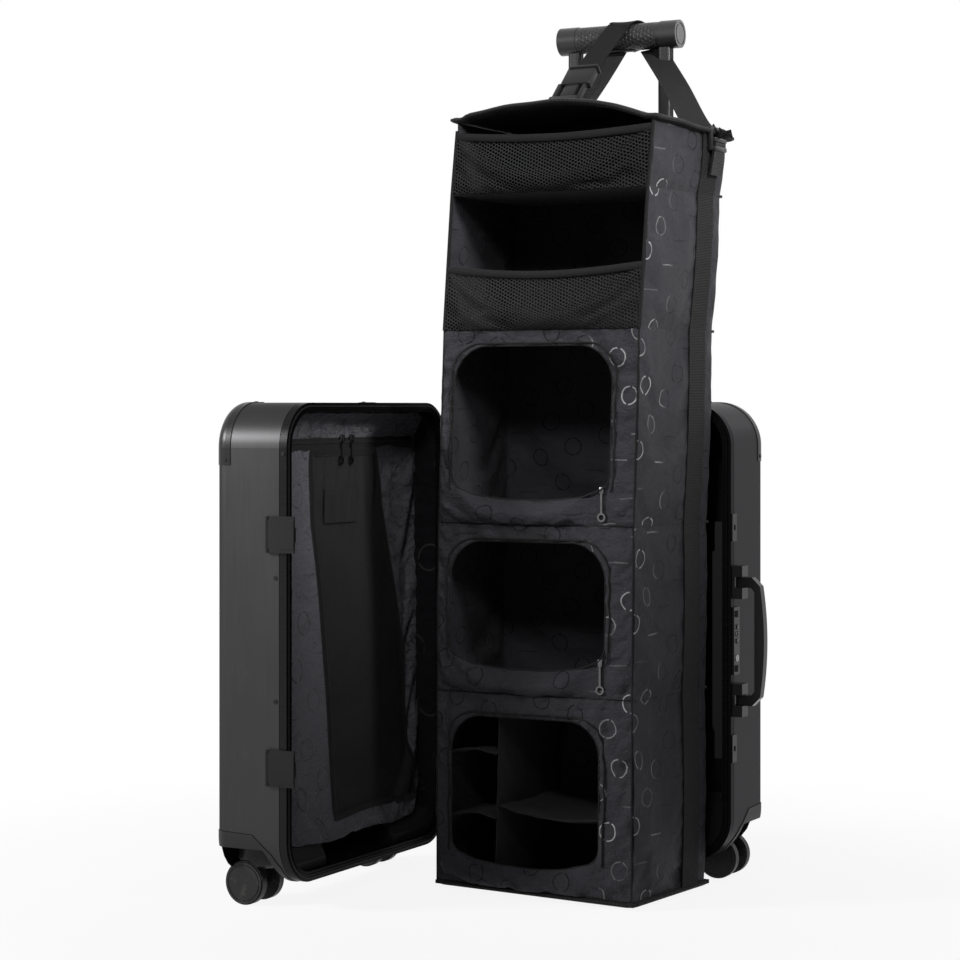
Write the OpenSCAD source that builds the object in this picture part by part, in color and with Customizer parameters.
/* [Case] */
// Width of each half of the case
case_w = 364; // [350:1:380]
// Height of each half, without the wheels
case_h = 530; // [520:1:545]
// Depth of the rear half, which carries the trolley handle
rear_d = 104; // [100:1:115]
// Depth of the front half
front_d = 94; // [92:1:105]
// Radius of the case's corners, seen from the front
corner_r = 50; // [44:1:54]
// Radius of the edges round the back of each half
edge_r = 14; // [10:1:16]
// Sheet thickness of the shells
wall = 1.4; // [1.2:0.1:1.6]
// Height of the case above the floor
ride_h = 29; // [29:1:33]

/* [Rim and hinge] */
// Depth of the rim extrusion, from its front face back
rim_d = 9; // [8:0.5:10]
// Width of the rim's front face
rim_w = 11; // [10.5:0.5:13]
// Thickness of the inner skirt that the shell is riveted to
skirt_t = 1.8; // [1.4:0.1:2]
// Depth of the skirt behind the rim
skirt_d = 8; // [6:0.5:10]
// Width of the shadow line between rim and shell
shadow_gap = 0.6; // [0.4:0.1:1]
// Distance of the hinge axis from the side wall
hinge_x = 6; // [6:0.1:7]
// Outer radius of the hinge knuckles
knuckle_r = 4.2; // [3.8:0.1:4.2]
// Radius of the hinge pins
hinge_pin_r = 1.6; // [1.4:0.1:2]
// Height of one hinge
hinge_h = 60; // [50:1:70]
// Number of hinges
hinge_count = 3; // [2:1:3]

/* [Corners and wheels] */
// Radius of a wheel
wheel_r = 24.5; // [22:0.5:24.5]
// Width of one wheel
wheel_w = 12; // [10:0.5:12]
// Distance between the middles of the two wheels of a caster
wheel_span = 35; // [34:0.5:36]
// Distance of the axle from the swivel axis
trail = 12; // [10:0.5:12]
// Radius of the axle
axle_r = 3; // [2.5:0.5:3.5]
// Radius of the swivel stem
stem_r = 4; // [3.5:0.5:5]
// Distance of the swivel axis from the side wall
caster_side = 50; // [48:0.5:52]
// Distance of the swivel axis from the back of its half
caster_back = 33; // [32:0.5:34]
// Width of a wheel housing
housing_w = 104; // [102:1:112]
// Height of a wheel housing above the case bottom, at the back
housing_h = 57; // [55:1:62]
// How far housings and corner guards stand proud of the shell
proud = 0.8; // [0.6:0.1:1.2]
// Width of the corner guards
guard_w = 21; // [16:1:22]
// Length that a corner guard runs on past the corner's arc
guard_tail = 19; // [12:1:22]

/* [Trolley handle] */
// Distance between the two posts
post_gap = 120; // [100:1:140]
// Width of the inner tubes
tube_w = 17; // [15:0.5:18]
// Depth of the inner tubes
tube_d = 14; // [12:0.5:14]
// Wall of the tubes
tube_wall = 1.2; // [1:0.1:1.2]
// Clearance all round between one tube and the next
tube_gap = 0.3; // [0.2:0.05:0.4]
// Travel of one stage
stage_travel = 210; // [180:1:210]
// Length by which one stage stays inside the next
stage_overlap = 60; // [50:1:80]
// Radius of the grip
grip_r = 17; // [14:0.5:17]
// Length of the grip
grip_l = 158; // [150:1:180]
// Height of the closed grip's axis above the case top
grip_park = 24; // [24:0.5:30]

/* [Carry handle and lock] */
// Height of the handle's middle above the case bottom
carry_z = 255; // [250:1:265]
// Length of the carry handle
carry_l = 148; // [146:1:150]
// How far the raised handle reaches from the wall
carry_reach = 38; // [34:1:44]
// Thickness of the handle's bar
carry_t = 11; // [9:0.5:11]
// Distance of the pivot from the wall
carry_pivot = 7; // [6.5:0.5:8]
// Distance of the handle and the lock from the rim's front face
carry_y = 12; // [12:0.5:13]
// Height of one handle bracket
bracket_h = 38; // [36:1:40]
// Radius of a number dial
dial_r = 6.5; // [6:0.25:6.5]
// Distance from one number dial to the next
dial_pitch = 8.1; // [7.8:0.1:8.6]

/* [Latches] */
// Height of the lower latch above the case bottom
lower_latch = 131; // [115:1:150]
// Height of the upper latch above the case bottom
upper_latch = 386; // [370:1:400]
// Height of a latch plate
latch_h = 40; // [36:1:44]
// Length of a latch plate across the wall
latch_l = 38; // [35:1:41]
// How far a latch's hook reaches past the rim
latch_hook = 13; // [11:0.5:14]
// How far a latch stands out from the wall
latch_out = 6.4; // [6.2:0.1:7]

/* [Hanging closet] */
// Width of the closet
closet_w = 255; // [240:1:260]
// Depth of the closet
closet_d = 170; // [160:1:172]
// Distance of the closet's side from the case's hinge side
closet_x = 75; // [72:1:85]
// Distance of the closet's back from the rim
closet_back = 5; // [4:0.5:8]
// Height of the bottom board's top above the floor
board_z = 9; // [7:0.5:12]
// Height of the lowest compartment
room_5 = 222; // [210:1:230]
// Height of the fourth compartment from the top
room_4 = 191; // [180:1:195]
// Height of the third compartment from the top
room_3 = 219; // [205:1:222]
// Height of the second compartment from the top
room_2 = 155; // [145:1:158]
// Height of the top compartment's front
room_1 = 72; // [66:1:74]
// How far the hanging closet's top has swung to the lock side
lean = 26; // [16:1:30]
// Thickness of the walls' cloth
cloth_t = 1.4; // [1:0.1:2]
// Thickness of a shelf
shelf_t = 3; // [2:0.5:4]
// Thickness of the stiff bottom board
board_t = 5; // [4:0.5:6]
// How far the bottom board stands out all round
board_lip = 4; // [3:1:6]
// Distance of a window's zip pull from the closet's right side
window_pull_in = 50; // [44:1:56]
// Height of a window's zip pull over its compartment's floor
window_pull_up = 39; // [36:1:44]
// Width of the webbing
webbing_w = 30; // [25:1:32]
// Thickness of the webbing
webbing_t = 1.6; // [1.2:0.1:2]

/* [Clearances] */
// Running clearance of pins and shafts, on the radius
run = 0.05; // [0.03:0.01:0.09]
// Clearance between pieces that pass or lie next to each other
clear = 0.3; // [0.2:0.05:0.4]
// Clearance of pieces that are seated on the shell
seat = 0.05; // [0.03:0.01:0.1]

/* [Hidden] */
$fn = 48;

case_top = ride_h + case_h;
mid_x = case_w / 2;
// The whole model stands with the middle of its box over the origin
front_reach = hinge_x + max(front_d + proud, front_d - caster_back + trail + wheel_r);
side_reach = hinge_x + case_w + latch_out;
box_mid = [(case_w + carry_reach - front_reach) / 2, (rear_d + proud - side_reach) / 2];

// Heights of the wheels' axle, the ceiling of a wheel well, and the top of a caster's bell
axle_z = wheel_r;
well_z = ride_h + 39;
bell_top = well_z - clear;
stem_top = well_z + 9;

// Trolley tubes, from the inner stage outwards
mid_w = tube_w + 2 * (tube_wall + tube_gap);
mid_d = tube_d + 2 * (tube_wall + tube_gap);
outer_w = mid_w + 2 * (tube_wall + tube_gap);
outer_d = mid_d + 2 * (tube_wall + tube_gap);
post_y = rear_d - wall - seat - outer_d / 2;
post_xs = [mid_x - post_gap / 2, mid_x + post_gap / 2];
bezel_t = 4;
bezel_w = 29;
tube_bottom = ride_h + 42;
outer_top = case_top;
mid_top = outer_top + stage_travel + 4;
grip_z = case_top + grip_park + 2 * stage_travel;
lining_back = post_y - outer_d / 2 - 2;

// Lock and carry handle, which share one line on the side wall
lock_z = ride_h + carry_z;
lock_w = 17;
lock_plate_t = 2.5;
lock_in = 10;
lock_h = 78;
lock_cut_h = lock_h - 6;
lock_cut_w = lock_w - 3.6;
dial_t = 5;
dial_x = case_w - 2.5;
dial_zs = [for (i = [1, 0, -1]) lock_z + 8 + i * dial_pitch];
key_z = lock_z - 20;
key_r = 4;
button_w = 8;
button_h = 7;
button_zs = [lock_z - 32, lock_z + 31];
button_travel = 1.4;
arm_h = 12;
arm_off = carry_l / 2 - arm_h / 2;
carry_pin_r = 2.2;

// Latches turn on pins that stand near their inner end
latch_zs = [lower_latch, upper_latch];
latch_pin_r = 1.5;
latch_eye_r = 2.7;
latch_pivot_y = latch_l - latch_hook - latch_eye_r;
latch_pivot_x = case_w + latch_eye_r + 0.9;

// Divider of the front half, and its zip
divider_y = 40;
divider_t = 2.4;
zip_z = case_top - 45;

// Levels of the closet from the bottom board to the top, and how far each has swung
closet_y0 = -closet_back - closet_d;
closet_r = 8;
closet_4_z = board_z + room_5;
closet_3_z = closet_4_z + room_4;
closet_2_z = closet_3_z + room_3;
closet_1_z = closet_2_z + room_2;
closet_top_z = closet_1_z + room_1;
closet_zs = [board_z, closet_4_z, closet_3_z, closet_2_z, closet_1_z, closet_top_z];
closet_lean = [for (z = closet_zs) lean * pow((z - board_z) / (closet_top_z - board_z), 3.4)];

// The closet's arched top
arch_base = closet_top_z + shelf_t / 2 + 9;

// Ends of the hanging straps, at the grip and on the closet's top
strap_hug = grip_r + webbing_t / 2 + clear;
strap_under_z = grip_z - sqrt(strap_hug * strap_hug - 64);
strap_grip = [mid_x + 14, post_y - strap_hug - 1, grip_z - 12];
strap_under_left = [mid_x - 4, post_y - 8, strap_under_z];
strap_under_right = [mid_x + 46, post_y - 8, strap_under_z];
strap_front_left = [closet_x + 118, closet_y0 + 60, on_top(118) + 1];
strap_back_left = [closet_x + 88, closet_y0 + 135, on_top(88) + 1];
strap_right = [closet_x + closet_w - 4, closet_y0 + 125, on_top(closet_w - 19) + 1];
buckle_at = 0.42;

// Rise of the closet's arched top, from side to side, with its lock side hanging lower
function arch(x) =
  let (u = (x - closet_w * 0.52) / (closet_w / 2))
    18 - (u > 0 ? 28 : 12) * u * u;

// Height at which a strap lies on the top, x from the closet's side at its foot
function on_top(x) = arch_base + arch(x - closet_lean[5]) + webbing_t / 2 + clear;

// Turns a shape drawn in x and y, with its depth along z, to stand with its depth along y
module stand() {
  mirror([0, 1, 0])
    rotate([90, 0, 0])
      children();
}

// Puts a piece of the front half, drawn as a rear half is, in its place, opened by a right angle
module opened() {
  translate([-hinge_x, 0, 0])
    rotate([0, 0, -90])
      translate([hinge_x, 0, 0])
        mirror([0, 1, 0])
          children();
}

// Puts the model's own axes under the middle of the whole suitcase
module placed() {
  translate([-box_mid[0], -box_mid[1], 0])
    children();
}

// The same piece at the hinge side and at the lock side of a half
module both_sides() {
  children();
  translate([case_w, 0, 0])
    mirror([1, 0, 0])
      children();
}

module rounded(w, h, r) {
  translate([r, 0]) square([w - 2 * r, h]);
  translate([0, r]) square([w, h - 2 * r]);
  for (x = [r, w - r], y = [r, h - r])
    translate([x, y]) circle(r);
}

// Outline of the case seen from the front, drawn in by i
module outline(i) {
  translate([i, ride_h + i])
    rounded(case_w - 2 * i, case_h - 2 * i, corner_r - i);
}

// Band of the outline between two insets, from depth y0 to depth y1
module band(i0, i1, y0, y1) {
  stand()
    translate([0, 0, y0])
      linear_extrude(y1 - y0)
        difference() {
          outline(i0);
          outline(i1);
        }
}

// A block with round corners of radius r, and round edges of radius e at its far end
module slab(w, h, d, r, e) {
  module section() {
    square([r, d - e]);
    square([r - e, d]);
    translate([r - e, d - e]) circle(e);
  }
  module quarter() {
    rotate([0, 0, 180]) rotate_extrude(angle = 90) section();
  }
  module side(l) {
    mirror([0, 1, 0]) rotate([90, 0, 90]) linear_extrude(l) section();
  }
  translate([r, r, 0]) cube([w - 2 * r, h - 2 * r, d]);
  for (mx = [0, 1], my = [0, 1])
    translate([mx * w, my * h, 0])
      mirror([mx, 0, 0])
        mirror([0, my, 0])
          translate([r, r, 0]) quarter();
  for (my = [0, 1])
    translate([r, my * h, 0])
      mirror([0, my, 0])
        translate([0, r, 0]) side(w - 2 * r);
  for (mx = [0, 1])
    translate([mx * w, r, 0])
      mirror([mx, 0, 0])
        translate([r, 0, 0])
          rotate([0, 0, 90]) mirror([0, 1, 0]) side(h - 2 * r);
}

// The space of a half, drawn in by i, from depth y0 to a back at depth d
module half_space(d, i, y0) {
  stand()
    translate([i, ride_h + i, y0])
      slab(case_w - 2 * i, case_h - 2 * i, d - y0, corner_r - i, edge_r - i);
}

// A prism along x of an outline in y and z
module prism(points, x0, x1) {
  translate([x0, 0, 0])
    rotate([90, 0, 90])
      linear_extrude(x1 - x0) polygon(points);
}

// The side view of a wheel housing, lifted by g: level at the back, then down towards the rim
module housing_zone(d, g) {
  prism([
    [d + 5, ride_h + housing_h + g], [d - 50, ride_h + housing_h - 2 + g],
    [d - 73, ride_h + housing_h - 22 + g], [d - 81, ride_h + housing_h - 38 + g],
    [d - 81, ride_h - 9], [d + 5, ride_h - 9]
  ], -5, housing_w + g);
}

// The hollow that the wheels stand in
module well_zone(d) {
  prism([
    [d + 5, well_z], [d - 63, well_z], [d - 70, ride_h + 26], [d - 76, ride_h + 8],
    [d - 77, ride_h - 10], [d + 5, ride_h - 10]
  ], -5, housing_w - 3);
}

// One wheel housing at the hinge side: outer skin, well and the boss of the swivel stem
module housing(d) {
  difference() {
    union() {
      difference() {
        intersection() {
          half_space(d + proud, -proud, rim_d + 1.5);
          housing_zone(d, 0);
        }
        intersection() {
          half_space(d - 3, 3, 0);
          prism([
            [d, well_z + 3], [d - 46, well_z + 3], [d - 46, case_top], [d, case_top]
          ], 3, housing_w - 3);
        }
      }
      translate([caster_side, d - caster_back, well_z + 1])
        cylinder(h = 7, r = stem_r + 5);
    }
    well_zone(d);
    translate([caster_side, d - caster_back, ride_h])
      cylinder(h = housing_h, r = stem_r + run);
  }
}

module shell(d) {
  difference() {
    half_space(d, 0, rim_d + shadow_gap);
    half_space(d - wall, wall, 0);
    both_sides() housing_zone(d, shadow_gap);
  }
}

// The rim: a front face with two shadow grooves, a lightened back and a skirt inside the shell
module rim(d) {
  difference() {
    band(0, rim_w, 0, rim_d);
    band(3.2, 4.6, -1, 2);
    band(rim_w - 3.4, rim_w - 2.2, -1, 1.2);
    band(wall + skirt_t + 0.6, rim_w - 2.4, 4, rim_d + 1);
  }
  difference() {
    band(wall + seat, wall + seat + skirt_t, rim_d - 1, rim_d + skirt_d);
    both_sides() housing_zone(d, clear);
  }
}

// A rivet's head on the side wall at the lock side
module wall_rivet(y, z, out) {
  translate([case_w + out, y, z])
    rotate([0, 90, 0])
      cylinder(h = 0.8, r = 2.4);
}

// Section of a skin that hugs the case's back edge, of width w on both faces, up to o proud:
// distance from the corner's centre, and depth
module edge_section(d, w, o) {
  module skin(o) {
    translate([corner_r - w, d - w]) {
      square([w - edge_r, w + o]);
      square([w + o, w - edge_r]);
    }
    translate([corner_r - edge_r, d - edge_r]) circle(edge_r + o);
  }
  intersection() {
    difference() {
      skin(o);
      skin(seat);
      square([corner_r - edge_r, d - edge_r]);
    }
    translate([corner_r - w, d - w]) square([2 * w, w + proud]);
  }
}

// The guard round one upper corner at the hinge side, with its rivets
module guard(d) {
  stand()
    translate([corner_r, case_top - corner_r, 0]) {
      rotate([0, 0, 90])
        rotate_extrude(angle = 90) edge_section(d, guard_w, proud);
      rotate([90, 0, 90])
        linear_extrude(guard_tail) edge_section(d, guard_w, proud);
      mirror([1, 0, 0])
        rotate([90, 0, 0])
          linear_extrude(guard_tail) edge_section(d, guard_w, proud);
    }
  tail = corner_r + guard_tail - 6;
  for (at = [[-proud, case_top - tail, -90], [tail, case_top + proud, 0]])
    translate([at[0], d - edge_r - 0.4, at[1]])
      rotate([0, at[2], 0])
        cylinder(h = 0.7, r = 2.2);
}

// One set of hinge leaves, on the even or the odd knuckles
module hinge_leaves(odd) {
  knuckles = 5;
  each_h = hinge_h / knuckles;
  for (n = [0 : hinge_count - 1]) {
    z0 = ride_h + corner_r + 30 - hinge_h / 2 + n * (case_h - 2 * corner_r - 60) / max(1, hinge_count - 1);
    translate([-1.5 - seat, rim_d / 2 - 3, z0])
      cube([1.5, rim_d + 8, hinge_h]);
    for (k = [0 : knuckles - 1])
      if (k % 2 == odd)
        translate([0, 0, z0 + k * each_h + clear / 2])
          difference() {
            union() {
              translate([-hinge_x, 0, 0])
                cylinder(h = each_h - clear, r = knuckle_r);
              translate([-hinge_x, rim_d / 2 - 3, 0])
                cube([hinge_x - seat, 2.6, each_h - clear]);
            }
            translate([-hinge_x, 0, -1])
              cylinder(h = each_h + 2, r = hinge_pin_r + run);
          }
    if (odd == 0)
      translate([-hinge_x, 0, z0 + clear / 2])
        cylinder(h = hinge_h - clear, r = hinge_pin_r);
  }
}

// The space round a wheel housing that cloth stays out of
module housing_room(d) {
  prism([
    [d + 5, ride_h + housing_h + 4], [d - 54, ride_h + housing_h + 4],
    [d - 78, ride_h + housing_h - 19], [d - 86, ride_h + 12], [d - 86, ride_h - 9],
    [d + 5, ride_h - 9]
  ], -5, housing_w + 2);
}

// The lining of a half, a tub that stops in front of back
module lining(d, back) {
  out = wall + skirt_t + seat + 0.4;
  thick = 2;
  difference() {
    half_space(back, out, rim_d + clear);
    half_space(back - thick, out + thick, 0);
    both_sides() housing_room(d);
  }
}

module rear_shell() {
  color("dimgray")
    difference() {
      shell(rear_d);
      lock_hole();
      translate([0, post_y, case_top - edge_r])
        for (x = post_xs)
          translate([x - outer_w / 2 - seat, -outer_d / 2 - seat, 0])
            cube([outer_w + 2 * seat, outer_d + 1.5 * seat, edge_r + 10]);
    }
}

// The cut in rim, shell and lining for the lock's body
module lock_hole() {
  translate([case_w - lock_in - clear, carry_y - lock_cut_w / 2 - seat, lock_z - lock_cut_h / 2 - seat])
    cube([lock_in + 5, lock_cut_w + 2 * seat, lock_cut_h + 2 * seat]);
}

module rear_frame() {
  color("gray")
    difference() {
      rim(rear_d);
      lock_hole();
    }
}

module rear_guards() {
  color("#2b2b2d") both_sides() guard(rear_d);
}

module rear_housings() {
  color("#262628") both_sides() housing(rear_d);
}

module rear_hinge_leaves() {
  color("#3a3a3c") hinge_leaves(0);
}

module rear_lining() {
  color("#3b3b3e")
    difference() {
      lining(rear_d, lining_back);
      translate([case_w - 30, 0, lock_z - lock_h / 2 - 2])
        cube([40, carry_y + lock_w / 2 + 2, lock_h + 4]);
    }
}

// A tube with round corners, from height z0 to height z1
module tube(w, d, z0, z1) {
  difference() {
    translate([-w / 2, -d / 2, z0])
      linear_extrude(z1 - z0) rounded(w, d, 4.5);
    translate([-w / 2 + tube_wall, -d / 2 + tube_wall, z0 - 1])
      linear_extrude(z1 - z0 + 2) rounded(w - 2 * tube_wall, d - 2 * tube_wall, 4.5 - tube_wall);
  }
}

module posts() {
  for (x = post_xs)
    translate([x, post_y, 0]) children();
}

module handle_tubes_outer() {
  color("#4a4a4c") posts() tube(outer_w, outer_d, tube_bottom, outer_top);
}

// The cap over the case's top back edge that the posts come out of, hollowed for the closed grip
module handle_bezel() {
  bezel_l = post_gap + outer_w + 24;
  color("#222224")
    difference() {
      stand()
        translate([mid_x - bezel_l / 2, case_top - corner_r, 0])
          rotate([90, 0, 90])
            linear_extrude(bezel_l) edge_section(rear_d, bezel_w, bezel_t);
      translate([mid_x, post_y, case_top + grip_park])
        rotate([0, 90, 0])
          cylinder(h = grip_l + 8, r = grip_park - bezel_t / 2, center = true);
      posts() {
        translate([-mid_w / 2 - tube_gap, -mid_d / 2 - tube_gap, case_top - 1])
          linear_extrude(bezel_t + 3) rounded(mid_w + 2 * tube_gap, mid_d + 2 * tube_gap, 4.5 + tube_gap);
        translate([-outer_w / 2 - seat, -outer_d / 2 - seat, case_top - 2 * edge_r])
          cube([outer_w + 2 * seat, outer_d + 2 * seat, 2 * edge_r + seat]);
      }
    }
}

module handle_tubes_mid() {
  color("#5a5a5c") posts() tube(mid_w, mid_d, outer_top - stage_overlap - stage_travel, mid_top);
}

module handle_tubes_inner() {
  color("#6a6a6c") posts() tube(tube_w, tube_d, mid_top - stage_overlap - stage_travel, grip_z - grip_r + 5);
}

// The grip: a round bar with end sleeves, stepped end caps and a slot for the release below
module grip() {
  color("#1d1d1f")
    translate([mid_x, post_y, grip_z])
      difference() {
        union() {
          rotate([0, 90, 0]) cylinder(h = grip_l - 6, r = grip_r - 0.8, center = true);
          for (s = [-1, 1])
            translate([s * (grip_l / 2 - 12), 0, 0])
              rotate([0, 90, 0]) cylinder(h = 24, r = grip_r, center = true);
        }
        for (s = [-1, 1]) {
          translate([s * grip_l / 2, 0, 0])
            rotate([0, 90, 0])
              difference() {
                cylinder(h = 1.6, r = grip_r - 3.5, center = true);
                cylinder(h = 3, r = grip_r - 5.5, center = true);
              }
          translate([s * post_gap / 2 - tube_w / 2, -tube_d / 2, -grip_r - 1])
            linear_extrude(6 + seat) rounded(tube_w, tube_d, 4.5);
        }
        translate([-20, -5, -grip_r - 1]) cube([40, 10, 12]);
      }
}

module grip_release() {
  color("#3c3c3e")
    translate([mid_x, post_y, grip_z])
      intersection() {
        translate([-20 + clear, -5 + clear, -grip_r - 0.6])
          cube([40 - 2 * clear, 10 - 2 * clear, 8]);
        rotate([0, 90, 0]) cylinder(h = 60, r = grip_r + 0.6, center = true);
      }
}

// The webbing's turn over the grip
module grip_strap() {
  color("#232327")
    translate([mid_x + 18, post_y, grip_z])
      rotate([0, 90, 0])
        difference() {
          cylinder(h = webbing_w, r = grip_r + webbing_t, center = true);
          cylinder(h = webbing_w + 2, r = grip_r + seat, center = true);
          translate([grip_r * 0.45, -grip_r - 5, -webbing_w])
            cube([grip_r * 2, 2 * grip_r + 10, 2 * webbing_w]);
        }
}

// The lock's body: plate, box through the wall, wells for dials and buttons, and the dials' spindle
module lock_housing() {
  color("#2f2f31") {
    difference() {
      union() {
        translate([case_w + seat, carry_y - lock_w / 2, lock_z - lock_h / 2])
          cube([lock_plate_t, lock_w, lock_h]);
        translate([case_w - lock_in, carry_y - lock_cut_w / 2, lock_z - lock_cut_h / 2])
          cube([lock_in + 1, lock_cut_w, lock_cut_h]);
      }
      for (z = dial_zs)
        translate([dial_x, carry_y, z - dial_t / 2 - clear])
          cylinder(h = dial_t + 2 * clear, r = dial_r + 0.2);
      translate([case_w - lock_in + 2, carry_y, key_z])
        rotate([0, 90, 0]) cylinder(h = 20, r = key_r + run);
      for (z = button_zs)
        translate([case_w - lock_in + 2, carry_y - button_w / 2 - clear, z - button_h / 2 - clear])
          cube([20, button_w + 2 * clear, button_h + 2 * clear]);
    }
    translate([dial_x, carry_y, dial_zs[2] - dial_pitch / 2 - 1])
      cylinder(h = 3 * dial_pitch + 2, r = 1.5);
  }
}

// A number dial with ten flats' worth of grip notches
module dial(i) {
  color("#1a1a1b")
    translate([dial_x, carry_y, dial_zs[i] - dial_t / 2])
      difference() {
        cylinder(h = dial_t, r = dial_r);
        translate([0, 0, -1]) cylinder(h = dial_t + 2, r = 1.5 + run);
        for (k = [0 : 9])
          rotate([0, 0, 36 * k])
            translate([dial_r + 0.2, 0, -1]) cylinder(h = dial_t + 2, r = 0.7);
      }
}

module key_cylinder() {
  color("#77777a")
    translate([case_w - lock_in + 2 + clear, carry_y, key_z])
      difference() {
        rotate([0, 90, 0]) cylinder(h = lock_in + lock_plate_t - 1.6, r = key_r);
        translate([4, -0.5, -2.6]) cube([12, 1, 5.2]);
      }
}

// A release button: its stop at the bottom of its well leaves it the travel
module lock_button(z) {
  x0 = case_w - lock_in + 2 + button_travel + 0.2;
  color("#3c3c3e")
    translate([x0, carry_y - button_w / 2, z - button_h / 2]) {
      cube([case_w + lock_plate_t + button_travel - x0, button_w, button_h]);
      translate([case_w + lock_plate_t + button_travel - x0, button_w / 4, 0])
        cube([0.8, button_w / 2, button_h]);
    }
}

// The moulded cover over the lock inside the rim
module lock_cover() {
  cover_h = 274;
  cover_out = wall + skirt_t + seat + 0.4 + 2 + clear;
  cover_in = 27;
  color("#2a2a2c")
    difference() {
      translate([case_w - cover_in, rim_d + clear, lock_z - cover_h / 2])
        cube([cover_in - cover_out, 30, cover_h]);
      translate([case_w - cover_in + 2, rim_d + 2.3, lock_z - cover_h / 2 + 2])
        cube([cover_in, 25.4, cover_h - 4]);
      translate([case_w - lock_in - 1, 0, lock_z - lock_h / 2])
        cube([lock_in, carry_y + lock_w / 2 + 1, lock_h]);
      for (z = [lock_z - cover_h / 2 - 1, lock_z + cover_h / 2 - 34])
        translate([case_w - cover_in - 1, rim_d - 1, z])
          cube([4, 50, 35]);
    }
}

module strike_plates() {
  color("#39393b")
    for (z = latch_zs)
      translate([case_w + seat, 1.5, ride_h + z])
        difference() {
          translate([0, 0, -16]) cube([1.4, 13, 32]);
          translate([-1, 4, -3]) cube([4, 5, 6]);
        }
}

// The two brackets that hold the carry handle, each with its pin
module carry_brackets() {
  color("#2b2b2d")
    for (s = [-1, 1])
      translate([case_w + seat, carry_y, lock_z + s * arm_off]) {
        difference() {
          translate([0, -9, -bracket_h / 2]) cube([12.5, 18, bracket_h]);
          translate([0.7, -10, -arm_h / 2 - clear]) cube([20, 20, arm_h + 2 * clear]);
        }
        translate([carry_pivot, 0, -bracket_h / 2])
          cylinder(h = bracket_h, r = carry_pin_r);
      }
}

// The carry handle: two eyes, two arms and a bar, bowed outwards, with cut corners
module carry_handle() {
  bow_r = 420;
  cut = 15;
  color("#1f1f21")
    translate([case_w + seat, carry_y, lock_z])
      difference() {
        union() {
          translate([0, carry_t / 2, 0])
            mirror([0, 1, 0])
              stand()
                linear_extrude(carry_t)
                  difference() {
                    intersection() {
                      polygon([
                        [carry_pivot, -carry_l / 2], [carry_reach - cut, -carry_l / 2],
                        [carry_reach, -carry_l / 2 + cut], [carry_reach, carry_l / 2 - cut],
                        [carry_reach - cut, carry_l / 2], [carry_pivot, carry_l / 2]
                      ]);
                      translate([carry_reach - seat - bow_r, 0]) circle(bow_r, $fn = 240);
                    }
                    polygon([
                      [-1, -carry_l / 2 + arm_h], [carry_reach - arm_h - 4, -carry_l / 2 + arm_h],
                      [carry_reach - arm_h, -carry_l / 2 + arm_h + 5],
                      [carry_reach - arm_h, carry_l / 2 - arm_h - 5],
                      [carry_reach - arm_h - 4, carry_l / 2 - arm_h], [-1, carry_l / 2 - arm_h]
                    ]);
                  }
          for (s = [-1, 1])
            translate([carry_pivot, 0, s * arm_off - arm_h / 2])
              cylinder(h = arm_h, r = carry_t / 2);
        }
        translate([carry_pivot, 0, -carry_l])
          cylinder(h = 2 * carry_l, r = carry_pin_r + run);
      }
}

module front_shell() {
  color("dimgray") opened() shell(front_d);
}

module front_frame() {
  color("gray") opened() rim(front_d);
}

// The rubber seal that stands in the front rim's outer groove
module front_gasket() {
  color("#151516") opened() band(3.2 + seat, 4.6 - seat, -1.2, 2 - seat);
}

module front_guards() {
  color("#2b2b2d")
    opened() {
      both_sides() guard(front_d);
      for (z = latch_zs)
        wall_rivet(rim_d + 5, ride_h + z + (z > case_h / 2 ? -48 : 72), seat);
      wall_rivet(rim_d / 2, case_top - corner_r - 6, seat);
    }
}

module front_housings() {
  color("#262628") opened() both_sides() housing(front_d);
}

module front_hinge_leaves() {
  color("#3a3a3c") opened() hinge_leaves(1);
}

module front_lining() {
  color("#55555a") opened() lining(front_d, front_d - wall - 2);
}

// The soft divider panel across the front half, with its zip
module front_divider() {
  edge = wall + skirt_t + seat + 0.4 + 2 + clear;
  color("#202023")
    opened() {
      difference() {
        stand()
          translate([0, 0, divider_y])
            linear_extrude(divider_t) outline(edge);
        both_sides() housing_room(front_d);
      }
      translate([mid_x - 110, divider_y - 2, zip_z - 3])
        cube([220, 2 + seat, 6]);
    }
}

// A hanging pull: an eye on its own peg, a shank and a ring, drawn below the origin
module pull(l) {
  translate([0, 0, -l / 2]) {
    translate([-1.2, -1, -l / 2 + 9]) cube([2.4, 2, l - 9]);
    rotate([90, 0, 0])
      difference() {
        translate([0, -l / 2 + 5, 0]) cylinder(h = 2, r = 5, center = true);
        translate([0, -l / 2 + 5, 0]) cylinder(h = 4, r = 3, center = true);
      }
  }
}

module divider_pull(i) {
  color("#8a8a8c")
    opened()
      translate([mid_x - 17 + 22 * i, divider_y - 3.4, zip_z + 3])
        pull(30);
}

// The bases of the two latches, with their lugs and pins
module latch_bases() {
  lug_h = 3.6;
  color("#2b2b2d")
    opened()
      for (z = latch_zs)
        translate([0, 0, ride_h + z]) {
          translate([case_w + seat, 1, -latch_h / 2])
            cube([0.5, latch_pivot_y + 2, latch_h]);
          for (s = [-1, 1])
            translate([latch_pivot_x, latch_pivot_y, s * (latch_h / 2 - lug_h / 2)]) {
              cylinder(h = lug_h, r = latch_eye_r, center = true);
              translate([-latch_eye_r - 0.6, -latch_eye_r, -lug_h / 2])
                cube([latch_eye_r + 0.6, 2 * latch_eye_r, lug_h]);
            }
          translate([latch_pivot_x, latch_pivot_y, -latch_h / 2])
            cylinder(h = latch_h, r = latch_pin_r);
        }
}

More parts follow.
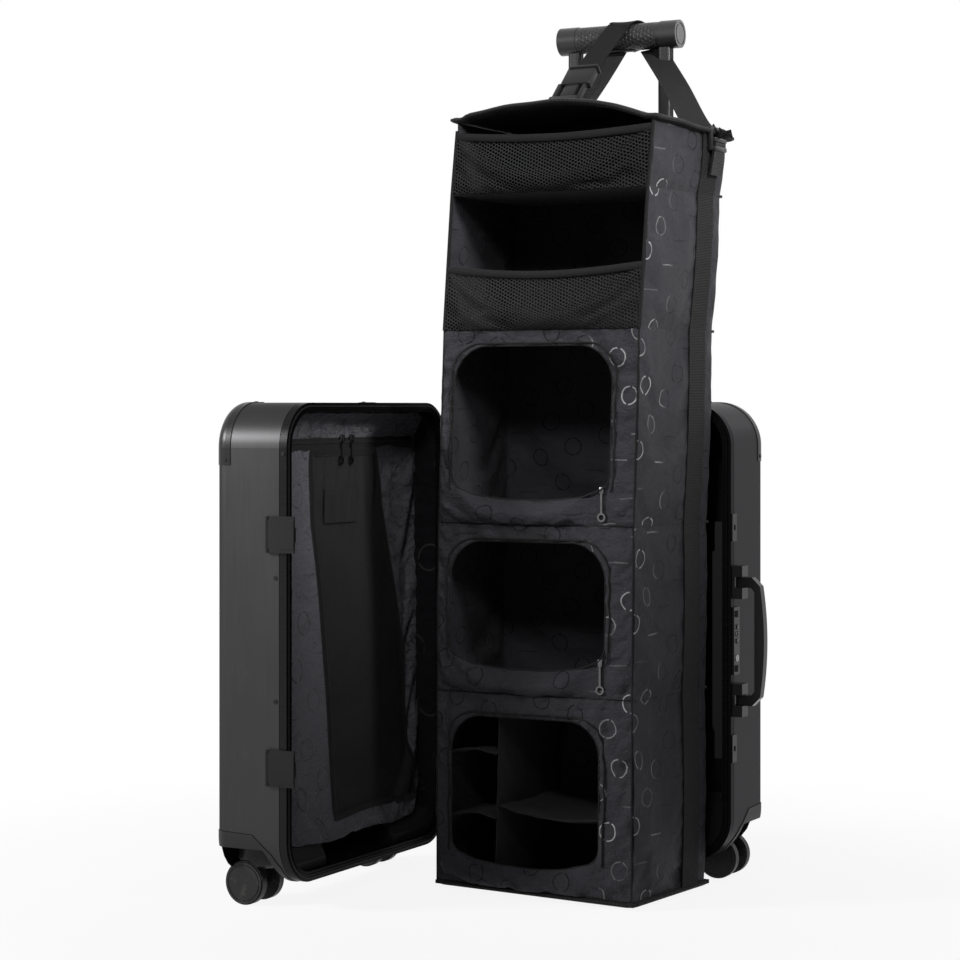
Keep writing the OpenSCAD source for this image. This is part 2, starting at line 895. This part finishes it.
// A latch plate on its eye, with a raised rib and the hook past the rim
module latch(z) {
  eye_h = latch_h - 2 * 3.6 - 2 * clear;
  plate_x = case_w + latch_out - 3;
  color("#333335")
    opened()
      translate([0, 0, ride_h + z])
        difference() {
          union() {
            translate([latch_pivot_x, latch_pivot_y, -eye_h / 2])
              cylinder(h = eye_h, r = latch_eye_r);
            translate([plate_x, -latch_hook, -latch_h / 2])
              cube([2.2, latch_pivot_y + latch_hook - latch_eye_r - clear, latch_h]);
            translate([plate_x, latch_pivot_y - latch_eye_r - 1, -eye_h / 2])
              cube([2.2, latch_eye_r + 1, eye_h]);
            translate([plate_x, -latch_hook, -latch_h / 2 + 4])
              cube([3, latch_l / 2, latch_h - 8]);
            translate([plate_x - 2, -latch_hook, -8])
              cube([2.5, 2, 16]);
          }
          translate([latch_pivot_x, latch_pivot_y, -latch_h])
            cylinder(h = 2 * latch_h, r = latch_pin_r + run);
        }
}

// Turns one caster to its place: at the hinge side or the lock side of a half
module caster_at(d, near, turn) {
  translate([near ? case_w - caster_side : caster_side, d - caster_back, 0])
    rotate([0, 0, turn]) children();
}

// The swivelling fork: a round bell over the wheels, a web between them, the axle and the stem
module caster() {
  bell_r = 29;
  bell_h = bell_top - axle_z - 16;
  color("#1c1c1e") {
    difference() {
      union() {
        difference() {
          translate([0, 0, bell_top - bell_h])
            rotate_extrude() {
              square([bell_r - bell_h / 2, bell_h]);
              translate([0, bell_h / 2]) square([bell_r, bell_h / 2]);
              translate([bell_r - bell_h / 2, bell_h / 2]) circle(bell_h / 2);
            }
          for (s = [-1, 1])
            translate([trail, s * wheel_span / 2, axle_z])
              rotate([90, 0, 0])
                cylinder(h = wheel_w + 2, r = wheel_r + 1.2, center = true);
          for (s = [0, 1])
            mirror([0, s, 0])
              translate([-bell_r, wheel_span / 2 + wheel_w / 2, 0])
                cube([2 * bell_r, bell_r, bell_top - bell_h / 2 - 2]);
        }
        translate([0, -8, axle_z - 4]) cube([trail, 16, bell_top - axle_z - 4]);
        translate([trail, 0, axle_z])
          rotate([90, 0, 0]) cylinder(h = wheel_span - wheel_w - 2 * clear, r = 9, center = true);
      }
    }
    translate([trail, 0, axle_z])
      rotate([90, 0, 0])
        cylinder(h = wheel_span + wheel_w - 6, r = axle_r, center = true);
    translate([0, 0, bell_top - 4]) cylinder(h = stem_top - bell_top + 4, r = stem_r);
    translate([0, 0, well_z + 8 + clear]) cylinder(h = 1.5, r = stem_r + 2);
  }
}

// The pair of wheels of one caster, each with a blind bore and a dished outer face
module wheel_pair() {
  color("#19191b")
    for (s = [0, 1])
      mirror([0, s, 0])
        translate([trail, wheel_span / 2, axle_z])
          rotate([-90, 0, 0])
            difference() {
              union() {
                cylinder(h = wheel_w - 3, r = wheel_r, center = true);
                cylinder(h = wheel_w, r = wheel_r - 1.5, center = true);
              }
              translate([0, 0, -wheel_w / 2 - 1])
                cylinder(h = wheel_w - 2 + clear, r = axle_r + run);
              translate([0, 0, wheel_w / 2 - 0.8])
                difference() {
                  cylinder(h = 2, r = wheel_r - 4);
                  translate([0, 0, -1]) cylinder(h = 4, r = wheel_r - 5);
                }
            }
}

// A rounded level of the closet: level k, drawn in by i, as a thin plate at height z
module level(k, i, z, t) {
  translate([closet_x + closet_lean[k] + i, closet_y0 + i, z])
    linear_extrude(t) rounded(closet_w - 2 * i, closet_d - 2 * i, closet_r - i, $fn = 24);
}

module shelf(k) {
  color("#2a2a2e") level(k, 0, closet_zs[k] - shelf_t / 2, shelf_t);
}

// Walls between level k and the next, open inside, less what the children take from the front
module closet_walls(k) {
  z0 = closet_zs[k] + (k == 0 ? 0 : shelf_t / 2);
  z1 = closet_zs[k + 1] - shelf_t / 2 - clear;
  color("#303036")
    difference() {
      hull() {
        level(k, 0, z0, 0.1);
        level(k + 1, 0, z1 - 0.1, 0.1);
      }
      hull() {
        level(k, cloth_t, z0 - 0.1, 0.1);
        level(k + 1, cloth_t, z1, 0.1);
      }
      translate([closet_x + (closet_lean[k] + closet_lean[k + 1]) / 2, closet_y0 - 1, z0])
        stand() linear_extrude(closet_r + 1) children();
    }
}

// The stiff board under the closet
module closet_floor() {
  color("#1f1f23")
    translate([closet_x - board_lip, closet_y0 - board_lip, closet_zs[0] - board_t])
      linear_extrude(board_t)
        rounded(closet_w + 2 * board_lip, closet_d + 2 * board_lip, closet_r);
}

// The top: a stiff arched sheet on a low wall
module closet_top() {
  steps = 16;
  lip = 8;
  xs = [for (i = [0 : steps]) -lip + i * (closet_w + 2 * lip) / steps];
  color("#26262a") {
    translate([closet_x + closet_lean[5], closet_y0 - 5, 0])
      stand()
        linear_extrude(closet_d + 8)
          polygon(concat(
            [for (x = xs) [x, arch_base + arch(x)]],
            [for (i = [steps : -1 : 0]) [xs[i], arch_base + arch(xs[i]) - shelf_t]]
          ));
    difference() {
      level(5, 0, closet_top_z - shelf_t / 2, 28);
      level(5, cloth_t, closet_top_z - shelf_t / 2 - 1, 40);
      translate([closet_x + closet_lean[5], closet_y0 - 8, 0])
        stand()
          linear_extrude(closet_d + 16)
            polygon(concat(
              [for (x = xs) [x, arch_base + arch(x) - shelf_t / 2]],
              [[closet_w + lip, arch_base + 80], [-lip, arch_base + 80]]
            ));
    }
  }
}

// A flat strap from point a to point b, its width along x
module strap(a, b) {
  hull() {
    translate(a) cube([webbing_w, webbing_t, webbing_t], center = true);
    translate(b) cube([webbing_w, webbing_t, webbing_t], center = true);
  }
}

module hang_straps() {
  buckle = strap_front_left + (strap_grip - strap_front_left) * buckle_at;
  color("#232327") {
    strap(strap_front_left, buckle - (strap_grip - strap_front_left) * 0.154);
    strap(buckle + (strap_grip - strap_front_left) * 0.154, strap_grip);
    strap(strap_back_left, strap_under_left);
    strap(strap_right, strap_under_right);
  }
}

// The side-release buckle in the front strap
module strap_buckle() {
  way = strap_grip - strap_front_left;
  at = strap_front_left + way * buckle_at;
  half = way * 0.135;
  color("#18181a")
    difference() {
      hull() {
        translate(at - half) cube([webbing_w + 8, 5, 5], center = true);
        translate(at + half) cube([webbing_w + 8, 5, 5], center = true);
      }
      for (s = [-1, 1])
        translate(at + [s * (webbing_w / 2 + 5), 0, 0])
          rotate([atan2(way[2], way[1]) , 0, 0])
            cube([6, 18, 12], center = true);
    }
}

module zip_pull(k) {
  color("#8a8a8c")
    translate([closet_x + closet_lean[k] + closet_w - window_pull_in, closet_y0 - 1.6, closet_zs[k] + window_pull_up])
      pull(34);
}

// Fronts of the five compartments, as outlines in x and height above the compartment's floor
module front_1() {
  translate([6, 54]) square([closet_w - 12, 60]);
}
module front_2() {
  translate([6, 78]) square([closet_w - 12, 60]);
  translate([6, 130]) square([closet_w - 12, closet_zs[4] - closet_zs[3] - 138]);
}
module front_3() {
  translate([16, 30]) rounded(closet_w - 46, closet_zs[3] - closet_zs[2] - 52, 28);
}
module front_4() {
  translate([14, 30]) rounded(closet_w - 46, closet_zs[2] - closet_zs[1] - 50, 28);
}
module front_5() {
  translate([20, 24]) rounded(closet_w - 58, closet_zs[1] - closet_zs[0] - 48, 30);
}

// The small cells in the lowest compartment
module cells() {
  z0 = closet_zs[0];
  h = closet_zs[1] - shelf_t / 2 - clear - z0;
  depth = closet_d - 20;
  column = 72;
  off = cloth_t + 0.2;
  color("#26262a") {
    translate([closet_x + column, closet_y0 + 12, z0 + 0.2]) cube([cloth_t, depth, h - 0.4]);
    for (f = [0.34, 0.68])
      translate([closet_x + off, closet_y0 + 12, z0 + h * f])
        cube([column - off + cloth_t / 2, depth, cloth_t]);
    translate([closet_x + column + cloth_t / 2, closet_y0 + 12, z0 + h * 0.42])
      cube([closet_w - column - off - cloth_t / 2, depth, cloth_t]);
  }
}

placed() rear_shell();
placed() rear_frame();
placed() rear_guards();
placed() rear_housings();
placed() rear_hinge_leaves();
placed() rear_lining();
placed() handle_tubes_outer();
placed() handle_bezel();
placed() lock_housing();
placed() lock_cover();
placed() strike_plates();
placed() carry_brackets();
placed() closet_floor();
placed() {  // closet_walls_5
  closet_walls(0) front_5();
  cells();
}
placed() dial(0);  // dial_1
placed() dial(1);  // dial_2
placed() dial(2);  // dial_3
placed() key_cylinder();
placed() lock_button(button_zs[1]);  // lock_button_upper
placed() lock_button(button_zs[0]);  // lock_button_lower
placed() carry_handle();
placed() handle_tubes_mid();
placed() handle_tubes_inner();
placed() grip();
placed() grip_release();
placed() grip_strap();
placed() front_shell();
placed() front_frame();
placed() front_gasket();
placed() front_guards();
placed() front_housings();
placed() front_hinge_leaves();
placed() front_lining();
placed() front_divider();
placed() latch_bases();
placed() latch(latch_zs[1]);  // latch_upper
placed() latch(latch_zs[0]);  // latch_lower
placed() divider_pull(0);  // divider_pull_1
placed() divider_pull(1);  // divider_pull_2
placed() caster_at(rear_d, false, 0) caster();  // caster_rear_far
placed() caster_at(rear_d, true, 0) caster();  // caster_rear_near
placed() opened() caster_at(front_d, false, 90) caster();  // caster_front_far
placed() opened() caster_at(front_d, true, 90) caster();  // caster_front_near
placed() caster_at(rear_d, false, 0) wheel_pair();  // wheels_rear_far
placed() caster_at(rear_d, true, 0) wheel_pair();  // wheels_rear_near
placed() opened() caster_at(front_d, false, 90) wheel_pair();  // wheels_front_far
placed() opened() caster_at(front_d, true, 90) wheel_pair();  // wheels_front_near
placed() shelf(1);  // closet_shelf_4
placed() closet_walls(1) front_4();  // closet_walls_4
placed() shelf(2);  // closet_shelf_3
placed() closet_walls(2) front_3();  // closet_walls_3
placed() shelf(3);  // closet_shelf_2
placed() closet_walls(3) front_2();  // closet_walls_2
placed() shelf(4);  // closet_shelf_1
placed() closet_walls(4) front_1();  // closet_walls_1
placed() closet_top();
placed() hang_straps();
placed() strap_buckle();
placed() zip_pull(2);  // zip_pull_3
placed() zip_pull(1);  // zip_pull_4
